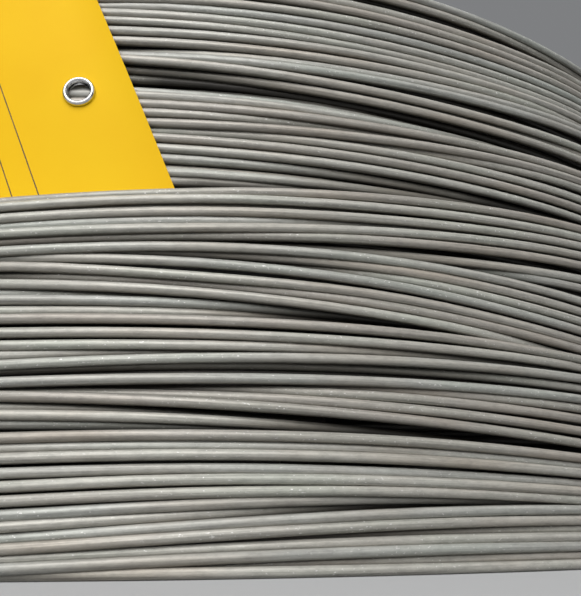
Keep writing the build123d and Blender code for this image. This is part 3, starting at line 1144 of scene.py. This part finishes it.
# %% The card on the wall
def on_tag(along, across, lift):
    """Point on the front of the tag, in metres, lifted off it by so many millimetres."""
    azimuth, height = tag_place(along, across)
    radius = tag_radius(along, across) + lift
    return Vector((radius * sin(azimuth), -radius * cos(azimuth), height)) * mm


for vert in card.verts:
    vert.co = on_tag(vert.co.y, vert.co.x, vert.co.z)
bmesh.ops.recalc_face_normals(card, faces=card.faces[:])
tag_card = finished("tag_card", card)
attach(tag_card, "root")
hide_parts("tag")

# %% [markdown]
# ## Yellow plastic
#
# The plastic is coloured through and almost matt, so it needs little shine. Sun and handling leave
# it a shade paler in places, which slow noise in the colour shows.

# %% Tag plastic
tag_plastic, tree, shader = new_material("tag_plastic")
cloud = noise(tree, scale=18.0, detail=3.0)
yellow = ramp(tree, cloud, (0.3, (0.92, 0.53, 0.0)), (0.7, (0.95, 0.58, 0.002)))
set_inputs(tree, shader, Base_Color=yellow, Roughness=0.5, Specular_IOR_Level=0.1)
paint(tag_plastic, [tag_card])

# %% [markdown]
# ## Eyelet
#
# An eyelet is a short metal tube whose end is rolled back over the card. Seen in section it is one
# line: up through the card, over in half a circle, and down to the card again. Spinning that line
# round the middle of the hole makes the whole eyelet, and its points then go to their place on the
# tag as those of the card did.

# %% Eyelet
rim_radius, barrel_radius, rim_rise = 7.5, 5.0, 1.8
barrel_taper, barrel_depth = 0.3, 0.9
rim_seat, rim_edge = 0.2, 0.02  # how far above the card the rim starts and ends
rim_steps = 12
rim_middle = (rim_radius + barrel_radius) / 2
rim_half = (rim_radius - barrel_radius) / 2

section = [(barrel_radius - barrel_taper, -barrel_depth), (barrel_radius, rim_seat)]
for step in range(rim_steps + 1):
    angle = pi * step / rim_steps
    section.append((rim_middle - rim_half * cos(angle), rim_seat + rim_rise * sin(angle)))
section.append((rim_radius, rim_edge))
eyelet = bmesh.new()
line = [eyelet.verts.new((radius, 0, lift)) for radius, lift in section]
for first, second in zip(line, line[1:]):
    eyelet.edges.new((first, second))
spin_round(eyelet, 48)
for vert in eyelet.verts:
    vert.co = on_tag(vert.co.y, vert.co.x + eyelet_place.x, vert.co.z)
bmesh.ops.recalc_face_normals(eyelet, faces=eyelet.faces[:])
for face in eyelet.faces:
    face.smooth = True
eyelet_rim = finished("eyelet_rim", eyelet)
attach(eyelet_rim, "root")
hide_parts("tag_eyelet")

# %% [markdown]
# The eyelet is bare plated metal, the brightest thing on the coil. Very fine noise breaks its shine
# up into small scuffs.

# %% Eyelet metal
eyelet_metal, tree, shader = new_material("eyelet_metal")
scuffs = noise(tree, scale=900.0, detail=3.0)
eyelet_colour = ramp(tree, scuffs, (0.3, 0.52), (0.7, 0.66))
eyelet_roughness = ramp(tree, scuffs, (0.3, 0.12), (0.7, 0.24))
set_inputs(tree, shader, Base_Color=eyelet_colour, Metallic=1.0, Roughness=eyelet_roughness)
paint(eyelet_metal, [eyelet_rim])

# %% [markdown]
# ## Rules on the tag
#
# The card is a blank form. Thin brown rules run down its length, as on any label that is filled in by
# hand. They could be drawn in the card's material, but a mask would have to find them on a bent card.
# So each is a flat strip of mesh that hovers a hair above the card, and bends with it.

# %% Printed rules
ink_lift = 0.06
rule_width = 0.5
rule_places = ((-9.5, -62, 58), (-20.5, -62, 20), (-31.5, -62, 58))  # across, first end, last end
rules = bmesh.new()
for across, first, last in rule_places:
    strip = bmesh.ops.create_grid(rules, x_segments=1, y_segments=60, size=0.5)
    for vert in strip["verts"]:
        along = first + (last - first) * (vert.co.y + 0.5)
        vert.co = on_tag(along, across + vert.co.x * rule_width, ink_lift)
bmesh.ops.recalc_face_normals(rules, faces=rules.faces[:])
printed_rules = finished("printed_rules", rules)
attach(printed_rules, "root")

ink, tree, shader = new_material("ink")
wear = noise(tree, scale=400.0, detail=3.0)
ink_colour = ramp(tree, wear, (0.4, (0.05, 0.02, 0.006)), (0.7, (0.16, 0.07, 0.01)))
set_inputs(tree, shader, Base_Color=ink_colour, Roughness=0.6)
paint(ink, [printed_rules])

# %% [markdown]
# ## Floor
#
# The coil lies on a pale floor. More light on the floor would also be more light on the steel, so the
# floor is made pale only for the camera and for what is mirrored in metal: Light Path tells these
# rays from the others. For all other rays the floor is dark, and throws little light back.

# %% Floor
floor = bmesh.new()
bmesh.ops.create_grid(floor, x_segments=1, y_segments=1, size=40)
floor_piece = finished("floor", floor)

daylight = (0.95, 0.97, 1.0, 1)
floor_paint, tree, shader = new_material("floor_paint")
rays = add_node(tree, "ShaderNodeLightPath").outputs
seen = calculate(tree, "MAXIMUM", rays["Is Camera Ray"], rays["Is Glossy Ray"])
seen = calculate(tree, "MAXIMUM", seen, rays["Is Transmission Ray"])
floor_colour = ramp(tree, seen, (0.0, 0.08), (1.0, 0.36))
floor_glow = calculate(tree, "MULTIPLY", seen, 0.13)
set_inputs(
    tree, shader, Base_Color=floor_colour, Roughness=0.9, Emission_Color=daylight,
    Emission_Strength=floor_glow,
)
paint(floor_paint, [floor_piece])

# %% [markdown]
# ## Light
#
# Three large lamps over the coil give soft shadows, as a cloudy sky does. The strong one in front
# stands high, so that the crest of each turn is bright and the gap below it dark. A weak one fills in
# from the right, and one behind lights the top of the coil and its far side. The world adds a
# little from everywhere.

# %% Lights
world = bpy.data.worlds.new("soft_sky")
world.use_nodes = True
background = world.node_tree.nodes["Background"]
background.inputs["Color"].default_value = daylight
background.inputs["Strength"].default_value = 0.22
bpy.context.scene.world = world


def area_light(name, place, aim, size, power):
    """A square lamp at a place, aimed at another, with its size in metres and its power in watts."""
    data = bpy.data.lights.new(name, "AREA")
    data.size = size
    data.energy = power
    lamp = bpy.data.objects.new(name, data)
    lamp.location = place
    lamp.rotation_euler = (Vector(aim) - Vector(place)).to_track_quat("-Z", "Y").to_euler()
    bpy.context.scene.collection.objects.link(lamp)
    print(f"{name}: {power} W")


area_light("front_light", (-0.7, -2.8, 2.1), (0, -0.4, 0.15), size=3.1, power=130)
area_light("right_light", (2.4, -1.4, 1.9), (0, -0.2, 0.15), size=1.8, power=6)
area_light("back_light", (0.3, 1.8, 2.2), (0, 0.2, 0.15), size=2.2, power=52)

bpy.context.scene.view_settings.view_transform = "Standard"
